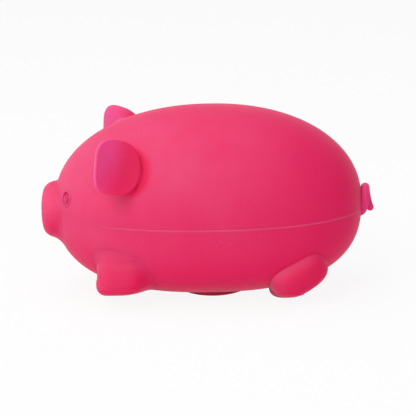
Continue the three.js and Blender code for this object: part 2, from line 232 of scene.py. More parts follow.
class PigEyes(bpy.types.PropertyGroup):
    """The oval eyes let into the face."""

    behind_nose: length("Behind nose", "Distance behind the nose", 4.9)
    lift: angle("Lift", "Angle up from the side", 21)
    height: length("Height", "Height of the eye", 5.4)
    width: length("Width", "Width of the eye", 4.8)
    rim: length("Rim", "Half thickness of the rim", 0.3)
    seat: length("Seat", "How far the skin sinks under the eye", 0.95)
    depth: length("Depth", "How far the eye lies under the skin", 0.35)
    pupil: length("Pupil", "Diameter of the pupil", 2.2)
    pupil_proud: length("Pupil height", "How far the pupil stands up", 0.5)


class PigEars(bpy.types.PropertyGroup):
    """The cupped ears."""

    behind_nose: length("Behind nose", "Distance behind the nose", 24.7)
    lift: angle("Lift", "Angle up from the side", 33.8)
    standoff: length("Standoff", "Height of the rim's middle over the skin", 6.3)
    height: length("Height", "Height of the rim", 17.4)
    width: length("Width", "Length of the rim", 16.0)
    front_corner: share("Front corners", "2 is an oval, more is squarer", 3.2)
    low_corner: share("Low front corner", "2 is an oval, more is squarer", 4.5)
    back_corner: share("Back corners", "2 is an oval, more is squarer", 2.1)
    cup: length("Cup", "Depth of the hollow", 1.5)
    rim: length("Rim", "Half thickness at the rim", 0.75)
    middle: length("Middle", "Half thickness at the middle", 1.5)
    root_place: lengths("Root place", "Middle of the root behind the cup", 3.0, 4.6, 2.0)
    root_size: lengths("Root size", "Half sizes of the root", 5.0, 4.4, 5.0)
    fillet: length("Fillet", "Width of the fillet into the head", 1.0)
    spin: angle("Spin", "Turn in the ear's own plane", 15)
    turn: angle("Turn", "Turn back from the side", 31)
    lean: angle("Lean", "Lean up from the side", 17)


class PigLobe(bpy.types.PropertyGroup):
    """A soft lobe under the body."""

    place_x: length("Place", "Place along the toy", 0)
    inset: length("Inset", "How far in from the body's side", 0)
    rise: length("Rise", "Height of the lobe's middle", 0)
    length_x: length("Length", "Length of the lobe", 0)
    width: length("Width", "Width of the lobe", 0)
    height: length("Height", "Height of the lobe", 0)
    splay: angle("Splay", "Lean towards the sole", 0)
    slope: angle("Slope", "Slope down to the toe", 0)
    turn: angle("Turn", "Turn towards the tail", 0)
    fullness: share("Fullness", "2 is an ellipsoid, more is squarer", 2.0)


class PigLeg(bpy.types.PropertyGroup):
    """A lobe with a flat sole, over a small foot if that has a length."""

    lobe: PointerProperty(type=PigLobe)
    foot: PointerProperty(type=PigLobe)
    sole_reach: length("Sole reach", "How far out from the toy's middle the sole is flat", 0)
    sole_lift: angle("Sole lift", "Slope of the sole outside its flat part", 19)
    sole_edge: length("Sole edge", "Rounding of the sole's edge", 2.4)
    fillet: length("Fillet", "Width of the fillet into the skin at the nose side", 0)
    flare: length("Flare", "How much wider the fillet is at the tail side and on top", 0)
    welt: length("Welt", "How far the edge of the sole stands out", 0.2)
    heel: length("Heel", "How far the sole rises over one length of the leg", 0)


class PigTail(bpy.types.PropertyGroup):
    """The coiled tail."""

    coil: length("Coil", "Diameter of the coil along its middle", 7.8)
    start_turn: share("Start", "Turns from the bottom at the root", -0.12)
    end_turn: share("End", "Turns from the bottom at the tip", 0.97)
    sink: length("Sink", "How far the root goes into the rump", 2.5)
    depth: length("Depth", "How far the coil winds back", 2.9)
    flip: length("Flip", "How far the tip turns out", 3.3)
    rise: length("Rise", "Height of the coil over the body's axis", -0.4)
    root: length("Root", "Half thickness at the root", 1.9)
    tip: length("Tip", "Half thickness at the tip", 1.2)
    thin: share("Thinness", "How much light comes through", 0.5)
    steps: IntProperty(name="Steps", description="Points along the tail", default=150)
    sides: IntProperty(name="Sides", description="Points around the tail", default=24)


class PigPatch(bpy.types.PropertyGroup):
    """The round patch bonded over the filling port."""

    place_x: length("Place", "Place along the toy", 1.6)
    diameter: length("Diameter", "Diameter of the patch", 24.4)
    thickness: length("Thickness", "Thickness of the patch", 1.9)
    edge: length("Edge", "Rounding of its lower edge", 0.6)


class PigFinish(bpy.types.PropertyGroup):
    """Colours of the toy."""

    skin: colour("Skin", "Soft rubber of the skin", 0.76, 0.006, 0.1)
    thin: colour("Thin", "Where the rubber is thin and light comes through", 0.83, 0.068, 0.28)
    # The pale bloom on the rubber, and also the colour of the painted highlight on surfaces that face the
    # lamps, on ridges and on the bead
    dust: colour("Dust", "Pale bloom on the rubber", 0.8, 0.42, 0.66)
    # Painted shade in creases, round the ears, rear legs and eyes and on the legs' upper parts: a deeper red
    # that takes no bloom
    deep: colour("Deep", "In creases, which hold no bloom", 0.78, 0.008, 0.085)
    patch: colour("Patch", "Rubber of the patch", 0.62, 0.012, 0.075)
    gel: colour("Gel", "Soft filling", 0.89, 0.58, 0.66)


class PigStudio(bpy.types.PropertyGroup):
    """The camera's place."""

    target: lengths("Target", "Point the camera looks at", 0.14, 0.0, 26.9)
    distance: length("Distance", "From the camera to the target", 480)
    elevation: angle("Elevation", "How far the camera looks down", 16)
    yaw: angle("Yaw", "Turn of the camera to the side", 1)
    roll: angle("Roll", "Tilt of the camera", -0.8)
    lens: FloatProperty(name="Lens", description="Focal length", default=125.0, unit="CAMERA")


class PigToy(bpy.types.PropertyGroup):
    """Every size and colour of the toy."""

    body: PointerProperty(type=PigBody)
    snout: PointerProperty(type=PigSnout)
    eyes: PointerProperty(type=PigEyes)
    ears: PointerProperty(type=PigEars)
    front_leg: PointerProperty(type=PigLeg)
    rear_leg: PointerProperty(type=PigLeg)
    tail: PointerProperty(type=PigTail)
    patch: PointerProperty(type=PigPatch)
    finish: PointerProperty(type=PigFinish)
    studio: PointerProperty(type=PigStudio)


def in_mm(**sizes):
    """Sizes given in mm, by name."""
    return {name: size * MM for name, size in sizes.items()}


def in_degrees(**turns):
    """Angles given in degrees, by name."""
    return {name: math.radians(turn) for name, turn in turns.items()}


LEGS = {
    "front_leg": in_mm(sole_reach=9.2, sole_edge=3.7, heel=7.6, fillet=0.8, flare=2.4),
    "front_leg.lobe": {
        **in_mm(place_x=-26.4, inset=12.5, rise=8.8, length_x=18.2, width=25.0, height=24.2),
        **in_degrees(splay=-2, slope=-3, turn=-15),
        "fullness": 3.2,
    },
    "rear_leg": in_mm(sole_reach=15.5, fillet=0.3),
    "rear_leg.lobe": {
        **in_mm(place_x=27.9, inset=9.0, rise=11.0, length_x=20.3, width=17.0, height=14.5),
        **in_degrees(splay=12, slope=30, turn=14),
        "fullness": 2.9,
    },
    "rear_leg.foot": {
        **in_mm(place_x=25.3, inset=15.2, rise=5.0, length_x=12.0, width=16.0, height=12.0),
        "fullness": 2.6,
    },
}


# Forms as numbers: a form's value is below 0 inside it, 0 on it and above 0 outside


def ramp(amount, start, width):
    """0 up to a start, then 0 to 1 over a width, with a soft beginning and end."""
    amount = np.clip((amount - start) / width, 0, 1)
    return amount * amount * (3 - 2 * amount)


def swell(along, fullness):
    """Half size of a full curve at a share of its reach."""
    return np.maximum(1 - np.abs(along) ** fullness, 0) ** (1 / fullness)


def section(body, x):
    """Half width, rise and drop of the body's section at a place along it, just short of its ends."""
    along = np.minimum(np.abs(x) / np.where(x < 0, body.nose_reach, body.rump_reach), 0.9999)
    wide = body.half_width * swell(along, body.plan_fullness)
    rise = body.back_rise * swell(along, body.back_fullness)
    drop = body.belly_drop * swell(along, body.belly_fullness)
    return wide, rise, drop


def body_value(body):
    """The body's form."""

    def value(points):
        x = points[..., 0] - body.section_x
        z = points[..., 2] - body.axis_height
        wide, rise, drop = section(body, x)
        tall = np.where(z < 0, drop, rise)
        power = np.where(z < 0, body.belly_round, body.back_round)
        total = np.abs(points[..., 1] / wide) ** power + np.abs(z / tall) ** power
        return total ** (1 / power) - 1

    return value


def ball(place, half):
    """An ellipsoid's value, from places about its middle and its half sizes."""
    return np.linalg.norm(place / np.array(half), axis=-1) - 1


def slope(value, points, step=0.02 * MM):
    """How fast a value changes at each point, as a vector."""
    nudges = np.eye(3) * step
    return np.stack([(value(points + n) - value(points - n)) / (2 * step) for n in nudges], -1)


def gap(value, points):
    """Distance from each point to where a value is 0, to first order."""
    steepness = np.linalg.norm(slope(value, points), axis=-1)
    return value(points) / np.maximum(steepness, TINY)


def skin_gap(body, points, halvings=16):
    """Distance from each point to the skin, from where a line to the body's middle meets the skin."""
    value = body_value(body)
    middle = np.array([body.section_x, 0, body.axis_height])
    place = points - middle
    low = np.abs(place[..., 0]) / np.where(place[..., 0] < 0, body.nose_reach, body.rump_reach)
    tall = np.where(place[..., 2] < 0, body.belly_drop, body.back_rise)
    high = low + np.abs(place[..., 1]) / body.half_width + np.abs(place[..., 2]) / tall
    for _ in range(halvings):
        scale = (low + high) / 2
        outside = value(middle + place / scale[..., None]) > 0
        low, high = np.where(outside, scale, low), np.where(outside, high, scale)
    on_skin = place / high[..., None]
    out = slope(value, middle + on_skin)
    out /= np.linalg.norm(out, axis=-1, keepdims=True)
    return (high - 1) * (on_skin * out).sum(-1)


def joined(first, second, width):
    """Two distances as one form, with a fillet of that width between them."""
    near = np.maximum(width - np.abs(first - second), 0) / width
    return np.minimum(first, second) - near * near * width / 4


def common(first, second, width):
    """What two distances have in common, with an edge rounded over that width."""
    return -joined(-first, -second, width)


def skin_point(body, x, lift):
    """A point of the skin on the pig's left side, at an angle up from the side, and its outward direction."""
    wide, rise, _ = section(body, x)
    point = np.array([body.section_x + x, -wide * math.cos(lift), body.axis_height + rise * math.sin(lift)])
    out = slope(body_value(body), point[None])[0]
    return point, out / np.linalg.norm(out)


def turned_by(*turns):
    """The matrix of turns about named axes, the first one innermost."""
    matrix = Matrix.Identity(3)
    for axis, amount in turns:
        matrix = Matrix.Rotation(amount, 3, axis) @ matrix
    return np.array(matrix)


def lobe_form(body, lobe):
    """The middle of a left lobe, and a rule for each point's distance to it."""
    wide, _, _ = section(body, lobe.place_x - body.section_x)
    centre = np.array([lobe.place_x, lobe.inset - wide, lobe.rise])
    axes = turned_by(("X", lobe.splay), ("Y", -lobe.slope), ("Z", lobe.turn))
    half = np.array([lobe.length_x, lobe.width, lobe.height]) / 2

    def value(points):
        place = np.abs((points - centre) @ axes / half)
        return (place**lobe.fullness).sum(-1) ** (1 / lobe.fullness) - 1

    return centre, lambda points: gap(value, points)


def ear_form(body, ear):
    """The left ear's middle, and rules for a point's place in the ear's axes and its distance to it."""
    foot, out = skin_point(body, ear.behind_nose - body.nose_reach, ear.lift)
    centre = foot + out * ear.standoff
    axes = turned_by(("Y", ear.spin), ("X", -ear.lean), ("Z", ear.turn))

    def local(points):
        return (points - centre) @ axes

    def spread(place):
        front = np.where(place[..., 2] > 0, ear.front_corner, ear.low_corner)
        corner = np.where(place[..., 0] > 0, ear.back_corner, front)
        u = np.abs(place[..., 0] / (ear.width / 2)) ** corner
        w = np.abs(place[..., 2] / (ear.height / 2)) ** corner
        return (u + w) ** (1 / corner)

    def inward(place):
        return 1 - spread(place) ** 2

    def half(place):
        return ear.rim + (ear.middle - ear.rim) * np.clip(inward(place), 0, 1)

    def dish_value(points):
        place = local(points)
        return place[..., 1] - ear.cup * inward(place) - half(place)

    def edge_value(points):
        return spread(local(points)) - 1

    def root_value(points):
        return ball(local(points) - np.array(ear.root_place), ear.root_size)

    def lump(points):
        thick = half(local(points))
        dish = gap(dish_value, points)
        cup = np.hypot(np.maximum(gap(edge_value, points) + thick, 0), dish) - thick
        return joined(cup, np.maximum(gap(root_value, points), -dish), EAR_ROOT_FILLET)

    return centre, local, lump


def leg_form(body, leg):
    """The middle of a left leg, and a rule for each point's distance to it."""
    centre, upper = lobe_form(body, leg.lobe)
    lower = lobe_form(body, leg.foot)[1] if leg.foot.length_x > 0 else None

    def lump(points):
        along = (points[..., 0] - centre[0]) / leg.lobe.length_x
        up = points[..., 2] - leg.heel * np.maximum(along + HEEL_LEAD, 0) ** 2
        out = (points[..., 1] + leg.sole_reach) * math.sin(leg.sole_lift)
        sole = joined(up, out + up * math.cos(leg.sole_lift), FOOT_FILLET)
        welt = leg.welt * ramp(sole - WELT_ARCH * along**4, *WELT_STEP)
        part = upper(points)
        if lower:
            part = joined(part, lower(points), FOOT_FILLET)
        return common(part, -sole, leg.sole_edge) + welt

    return centre, lump


def to_left(points):
    """What each point is multiplied by to bring it to the pig's left side, and back."""
    return np.where(points[:, 1:2] > 0, [1, -1, 1], [1, 1, 1])


def behind_ear(place):
    """0 under the front of an ear to 1 behind it and below it, where its painted shadow goes, from places in
    the ear's axes.
    """
    return np.maximum(ramp(place[..., 0], *BEHIND_EAR), ramp(-place[..., 2], *BELOW_EAR))


def creases(toy, points):
    """0 on open skin to 1 close to the ears and rear legs: painted shade in the creases there."""
    left = points * to_left(points)
    _, local, ear = ear_form(toy.body, toy.ears)
    _, leg = leg_form(toy.body, toy.rear_leg)
    by_ear = (1 - ramp(ear(left), *EAR_CREASE)) * behind_ear(local(left))
    return np.maximum(by_ear, LEG_CREASE_SHARE * (1 - ramp(leg(left), *LEG_CREASE)))


def grown_on(body, lump, fillet, reach):
    """A lump that grows out of the skin: a fillet, a skirt just under the skin and a root inside it."""

    def form(points):
        part = lump(points)
        whole = part - reach
        near = whole < MM
        skin = skin_gap(body, points[near]) + SKIRT_DEPTH
        width = fillet(points[near]) if callable(fillet) else fillet
        grown = np.maximum(joined(part[near], skin, width), whole[near])
        whole[near] = np.maximum(grown, -(skin + ROOT_DEPTH))
        return whole

    return form


CORNERS = np.array([(i, j, k) for i in (0, 1) for j in (0, 1) for k in (0, 1)])
EDGES = [(a, b) for a in range(8) for b in range(a + 1, 8) if np.abs(CORNERS[a] - CORNERS[b]).sum() == 1]


def surface_of(form, low, high, pitch, settlings=3):
    """Points and quads of the surface where a form is 0, from one point for each cell that it crosses."""
    axes = [np.arange(a, b + pitch, pitch) for a, b in zip(low, high)]
    value = form(np.stack(np.meshgrid(*axes, indexing="ij"), -1))
    cells = np.array(value.shape) - 1

    def corner(offset):
        i, j, k = offset
        return value[i : i + cells[0], j : j + cells[1], k : k + cells[2]]

    full = np.sum([corner(offset) < 0 for offset in CORNERS], 0)
    crossed = (full > 0) & (full < len(CORNERS))
    total = np.zeros((crossed.sum(), 3))
    count = np.zeros(crossed.sum())
    for a, b in EDGES:
        va, vb = corner(CORNERS[a])[crossed], corner(CORNERS[b])[crossed]
        cut = (va < 0) != (vb < 0)
        part = va[cut] / (va[cut] - vb[cut])
        total[cut] += CORNERS[a] + part[:, None] * (CORNERS[b] - CORNERS[a])
        count[cut] += 1
    points = np.array(low) + (np.argwhere(crossed) + total / count[:, None]) * pitch
    number = np.full(crossed.shape, -1)
    number[crossed] = np.arange(len(points))
    quads = []
    for axis in range(3):
        across = [(axis + 1) % 3, (axis + 2) % 3]
        first = np.take(value, np.arange(cells[axis]), axis) < 0
        second = np.take(value, np.arange(1, cells[axis] + 1), axis) < 0
        for mask, order in ((first & ~second, 1), (~first & second, -1)):
            at = np.argwhere(mask)
            at = at[((at[:, across] > 0) & (at[:, across] < cells[across])).all(1)]
            ring = []
            for back in ((1, 1), (0, 1), (0, 0), (1, 0)):
                cell = at.copy()
                cell[:, across] -= back
                ring.append(number[tuple(cell.T)])
            quads.append(np.stack(ring[::order], 1))
    for _ in range(settlings):
        steep = slope(form, points)
        move = form(points)[:, None] * steep / np.maximum((steep**2).sum(1), TINY)[:, None]
        points = points - np.clip(move, -pitch / 2, pitch / 2)
    return points, np.concatenate(quads)


def ridges(form, points, step=0.3 * MM):
    """0 on a form's flat and hollow places to 1 on its sharp ridges."""
    nudges = np.concatenate([np.eye(3), -np.eye(3)]) * step
    bend = -len(nudges) * form(points)
    for nudge in nudges:
        bend = bend + form(points + nudge)
    return ramp(bend / step**2, *RIDGE_BEND)


# Meshes and objects


def add_mesh(name, points, faces, material, **marks):
    """A smooth piece with its place in its mesh, and marks with a number for each point."""
    mesh = bpy.data.meshes.new(name)
    mesh.from_pydata([tuple(p) for p in points], [], [tuple(int(i) for i in f) for f in faces])
    mesh.polygons.foreach_set("use_smooth", [True] * len(mesh.polygons))
    mesh.materials.append(material)
    mesh.update()
    piece = bpy.data.objects.new(name, mesh)
    bpy.context.scene.collection.objects.link(piece)
    for label, amounts in marks.items():
        mark(piece, label, amounts)
    return piece


def mark(piece, label, amounts):
    """Keeps a number for each point of a piece for its finish."""
    piece.data.attributes.new(label, "FLOAT", "POINT").data.foreach_set("value", amounts)


def points_of(piece):
    """A piece's points, one to a row."""
    points = np.empty(len(piece.data.vertices) * 3)
    piece.data.vertices.foreach_get("co", points)
    return points.reshape(-1, 3)


def both_sides(name, points, faces, material, **marks):
    """A piece on the pig's left and its mirror image on the right."""
    left = add_mesh(f"{name}_left_form", points, faces, material, **marks)
    right = add_mesh(f"{name}_right_form", points * [1, -1, 1], faces[:, ::-1], material, **marks)
    return {"left": left, "right": right}


def settled(piece):
    """The piece with what its modifiers make as its own mesh."""
    depsgraph = bpy.context.evaluated_depsgraph_get()
    mesh = bpy.data.meshes.new_from_object(piece.evaluated_get(depsgraph), depsgraph=depsgraph)
    piece.modifiers.clear()
    piece.data = mesh
    return piece


def cut_flat(piece, height, side, closed=False):
    """Cuts a piece at a height and keeps what is over it, or under it if side is -1."""
    shell = bmesh.new()
    shell.from_mesh(piece.data)
    cut = bmesh.ops.bisect_plane(
        shell,
        geom=shell.verts[:] + shell.edges[:] + shell.faces[:],
        plane_co=(0, 0, height),
        plane_no=(0, 0, side),
        clear_inner=True,
    )
    if closed:
        edges = [part for part in cut["geom_cut"] if isinstance(part, bmesh.types.BMEdge)]
        bmesh.ops.holes_fill(shell, edges=edges)
    bmesh.ops.recalc_face_normals(shell, faces=shell.faces[:])
    shell.to_mesh(piece.data)
    shell.free()


def sharpened(piece):
    """The piece with its hard edges shaded as edges."""
    shell = bmesh.new()
    shell.from_mesh(piece.data)
    for edge in shell.edges:
        edge.smooth = not edge.is_manifold or edge.calc_face_angle() < SHARP_ANGLE
    shell.to_mesh(piece.data)
    shell.free()
    return piece


def soft(piece, slot, *nodes):
    """A piece with its place kept in its mesh, after the named solids are hidden."""
    if nodes:
        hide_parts(*nodes)
    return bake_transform(piece)


# Node trees


class Field:
    """A number in a node tree; sums on it add math nodes."""

    def __init__(self, tree, socket):
        self.tree = tree
        self.socket = socket


def sum_rule(operation, swapped):
    """How a field takes part in one kind of sum, as its first number or its second."""

    def total(field, other):
        return calc(field.tree, operation, *((other, field) if swapped else (field, other)))

    return total


for sign, operation in (
    ("add", "ADD"),
    ("sub", "SUBTRACT"),
    ("mul", "MULTIPLY"),
    ("truediv", "DIVIDE"),
    ("pow", "POWER"),
):
    setattr(Field, f"__{sign}__", sum_rule(operation, False))
    setattr(Field, f"__r{sign}__", sum_rule(operation, True))


def put(tree, value, socket):
    """Links a field or another socket to a socket, or sets a plain value on it."""
    if isinstance(value, Field):
        value = value.socket
    if isinstance(value, bpy.types.NodeSocket):
        tree.links.new(value, socket)
    else:
        socket.default_value = value


def fill(tree, target, **values):
    """A node with its inputs set or linked by name, with _ for a space."""
    for name, value in values.items():
        put(tree, value, target.inputs[name.replace("_", " ")])
    return target


def node(tree, kind, **values):
    """A new node with its inputs set or linked by name."""
    return fill(tree, tree.nodes.new(kind), **values)


def calc(tree, operation, *values):
    """One math node."""
    made = tree.nodes.new("ShaderNodeMath")
    made.operation = operation
    for value, socket in zip(values, made.inputs):
        put(tree, value, socket)
    return Field(tree, made.outputs[0])


def either(condition, yes, no):
    """yes where a 0 or 1 field is 1, and no where it is 0."""
    return no + condition * (yes - no)


def signed_power(tree, base, power):
    """A power that keeps its base's sign."""
    return calc(tree, "SIGN", base) * calc(tree, "ABSOLUTE", base) ** power


def swell_field(tree, along, fullness):
    """Half size of a full curve at a share of its reach."""
    left = calc(tree, "MAXIMUM", 1.0 - calc(tree, "ABSOLUTE", along) ** fullness, 0.0)
    return left ** (1.0 / fullness)


def parts_of(tree, vector):
    """The three numbers of a vector."""
    return [Field(tree, socket) for socket in node(tree, "ShaderNodeSeparateXYZ", Vector=vector).outputs]


def sockets(tree, way, kind, *labels):
    """Adds inputs or outputs of one kind to a tree."""
    for label in labels:
        tree.interface.new_socket(label, in_out=way, socket_type=f"NodeSocket{kind}")


def shape_tree(name, sizes, counts):
    """A Geometry Nodes tree with sizes, counts and a material as inputs, and its inputs as fields."""
    tree = bpy.data.node_groups.new(name, "GeometryNodeTree")
    sockets(tree, "INPUT", "Float", *sizes)
    sockets(tree, "INPUT", "Int", *counts)
    sockets(tree, "INPUT", "Material", "material")
    sockets(tree, "OUTPUT", "Geometry", "Geometry")
    entry = tree.nodes.new("NodeGroupInput")
    fields = {socket.name: Field(tree, socket) for socket in entry.outputs if socket.name}
    return tree, SimpleNamespace(**fields)


def place_in(tree):
    """The three numbers of each point's place."""
    return parts_of(tree, tree.nodes.new("GeometryNodeInputPosition").outputs[0])


def moved_to(tree, geometry, x, y, z):
    """Geometry with its points moved to a place."""
    place = node(tree, "ShaderNodeCombineXYZ", X=x, Y=y, Z=z).outputs[0]
    return node(tree, "GeometryNodeSetPosition", Geometry=geometry.outputs[0], Position=place).outputs[0]


def circle(tree, resolution, radius):
    """A round curve."""
    return node(tree, "GeometryNodeCurvePrimitiveCircle", Resolution=resolution, Radius=radius)


def close_tree(tree, geometry, material):
    """Ends a tree in plain, smooth geometry with its material."""
    smooth = node(tree, "GeometryNodeSetShadeSmooth", Geometry=geometry.outputs[0])
    real = node(tree, "GeometryNodeRealizeInstances", Geometry=smooth.outputs[0])
    painted = node(tree, "GeometryNodeSetMaterial", Geometry=real.outputs[0], Material=material)
    node(tree, "NodeGroupOutput", Geometry=painted.outputs[0])
    return tree


def from_tree(name, tree, material, values):
    """A piece made by a Geometry Nodes tree, as a plain mesh."""
    piece = bpy.data.objects.new(name, bpy.data.meshes.new(name))
    bpy.context.scene.collection.objects.link(piece)
    modifier = piece.modifiers.new("shape", "NODES")
    modifier.node_group = tree
    for item in tree.interface.items_tree:
        if item.in_out == "INPUT":
            modifier[item.identifier] = material if item.name == "material" else values[item.name]
    settled(piece)
    piece.data.name = name
    return piece


def picked(group, names):
    """Some of a group's values by name."""
    return {name: getattr(group, name) for name in names}


BODY_SIZES = [name for name in PigBody.__annotations__ if name not in ("wall", "bead_radius", "bead_proud")]
TAIL_SIZES = ("coil", "start_turn", "end_turn", "depth", "flip", "root", "tip")
TAIL_MESH = ("steps", "sides")


def body_fields(tree, size, along, grow):
    """Reach, half width, rise and drop of the body at a share of its reach."""
    nose_side = calc(tree, "LESS_THAN", along, 0.0)
    reach = either(nose_side, size.nose_reach, size.rump_reach) + grow
    wide = (size.half_width + grow) * swell_field(tree, along, size.plan_fullness)
    rise = (size.back_rise + grow) * swell_field(tree, along, size.back_fullness)
    drop = (size.belly_drop + grow) * swell_field(tree, along, size.belly_fullness)
    return reach, wide, rise, drop


def body_tree():
    """The whole plump body, from a ball whose points move to the body's rule."""
    tree, size = shape_tree("plump_body", (*BODY_SIZES, "grow"), SKIN_MESH)
    globe = node(tree, "GeometryNodeMeshUVSphere", Segments=size.around, Rings=size.lengthwise, Radius=1.0)
    side, up, along = place_in(tree)
    reach, wide, rise, drop = body_fields(tree, size, along, size.grow)
    girth = calc(tree, "MAXIMUM", calc(tree, "SQRT", side * side + up * up), TINY)
    low = calc(tree, "LESS_THAN", up, 0.0)
    power = 2.0 / either(low, size.belly_round, size.back_round)
    body = moved_to(
        tree,
        globe,
        size.section_x + reach * along,
        wide * signed_power(tree, side / girth, power),
        size.axis_height + either(low, drop, rise) * signed_power(tree, up / girth, power),
    )
    merged = node(tree, "GeometryNodeMergeByDistance", Geometry=body, Distance=TINY)
    return close_tree(tree, merged, size.material)


def bead_tree():
    """A fine bead that follows the joint between the two halves of the skin."""
    tree, size = shape_tree("joint_bead", (*BODY_SIZES, "seam_drop", "grow", "radius"), BEAD_MESH)
    ring = circle(tree, size.steps, 1.0)
    around, side, _ = place_in(tree)
    along = around * swell_field(tree, size.seam_drop / (size.belly_drop + size.grow), size.belly_fullness)
    sunk = calc(tree, "MAXIMUM", BEAD_SINK_FROM - around, 0.0) * BEAD_SINK
    reach, wide, _, drop = body_fields(tree, size, along, size.grow - sunk)
    low = calc(tree, "MINIMUM", size.seam_drop / calc(tree, "MAXIMUM", drop, TINY), 1.0)
    path = moved_to(
        tree,
        ring,
        size.section_x + reach * along,
        calc(tree, "SIGN", side) * wide * swell_field(tree, low, size.belly_round),
        size.axis_height - size.seam_drop,
    )
    profile = circle(tree, size.sides, size.radius)
    bead = node(tree, "GeometryNodeCurveToMesh", Curve=path, Profile_Curve=profile.outputs[0])
    return close_tree(tree, bead, size.material)


def tail_tree():
    """A tapered cord that leaves the rump, winds round an axis that points back and flips its tip out."""
    tree, size = shape_tree("coiled_tail", ("root_x", "middle_z", *TAIL_SIZES), TAIL_MESH)
    line = node(tree, "GeometryNodeMeshLine", Count=size.steps)
    along = Field(tree, tree.nodes.new("GeometryNodeInputIndex").outputs[0]) / (size.steps - 1.0)
    turn = (size.start_turn + along * (size.end_turn - size.start_turn)) * math.tau
    radius = size.coil / 2.0
    leaving = 1.0 - (1.0 - along) ** TAIL_LEAVE
    path = moved_to(
        tree,
        line,
        size.root_x + size.depth * leaving + size.flip * along**TAIL_FLIP,
        radius * calc(tree, "SINE", turn) * -1.0,
        size.middle_z - radius * calc(tree, "COSINE", turn),
    )
    curve = node(tree, "GeometryNodeMeshToCurve", Mesh=path)
    last = calc(tree, "MAXIMUM", (along - TAIL_END) / (1.0 - TAIL_END), 0.0)
    end = calc(tree, "SQRT", calc(tree, "MAXIMUM", 1.0 - last * last, TAIL_BLUNT))
    cord = node(
        tree,
        "GeometryNodeCurveToMesh",
        Curve=curve.outputs[0],
        Profile_Curve=circle(tree, size.sides, 1.0).outputs[0],
        Scale=(size.root + (size.tip - size.root) * along) * end,
        Fill_Caps=True,
    )
    return close_tree(tree, cord, size.material)


# Finishes

# Each rubber's colour, bloom all over, settled bloom and painted highlight on surfaces that face the lamps,
# specks, roughness and bump
RUBBERS = {
    "pink_soft_rubber": ("skin", 0.004, 0.14, 0.12, 0.5, 0.25),
    "pink_lump_rubber": ("skin", 0.004, 0.14, 0.12, 0.5, 0.25),
    # The bead's greater bloom is a painted highlight along the joint
    "bead_highlight_rubber": ("skin", 0.08, 0.16, 0.1, 0.5, 0.25),
    "patch_rubber": ("patch", 0.03, 0.05, 0.2, 0.42, 0.15),
    "pale_gel": ("gel", 0.0, 0.0, 0.0, 0.2, 0.05),
}
BUMP_HEIGHT = 0.05 * MM
# How much painted highlight a lump's ridges get, in the pale bloom colour
RIDGE_HIGHLIGHT = 0.025

# The way that surfaces face which get most settled bloom and painted highlight from the lamps: forward, to
# either side and up
HIGHLIGHT_SIDE = (-0.6, 0.6, 0.53)

# Bloom and painted highlight where clouds and flow marks are faintest, and how much more there is where they
# are strongest
CLOUD_LEAST, CLOUD_MORE = 0.35, 1.3
FLOW_LEAST, FLOW_MORE = 0.75, 0.5

# A noise's middle value
NOISE_MIDDLE = 0.5

# How large and how strong specks are, and how strong the patches are that they lie in
SPECK_SIZE, SPECK_STRENGTH, SPECK_PATCHES = 0.16, 6.0, 4.0

# How much flow marks and grain roughen, and how much grain, flow marks and specks stand up
FLOW_ROUGH, GRAIN_ROUGH = 0.12, 0.06
GRAIN_RAISED, FLOW_RAISED, SPECK_RAISED = 0.35, 0.5, 0.3


def mixed(tree, factor, first, second):
    """A colour between two colours."""
    mix = tree.nodes.new("ShaderNodeMix")
    mix.data_type = "RGBA"
    for value, socket in ((factor, mix.inputs["Factor"]), (first, mix.inputs[6]), (second, mix.inputs[7])):
        put(tree, value, socket)
    return mix.outputs[2]


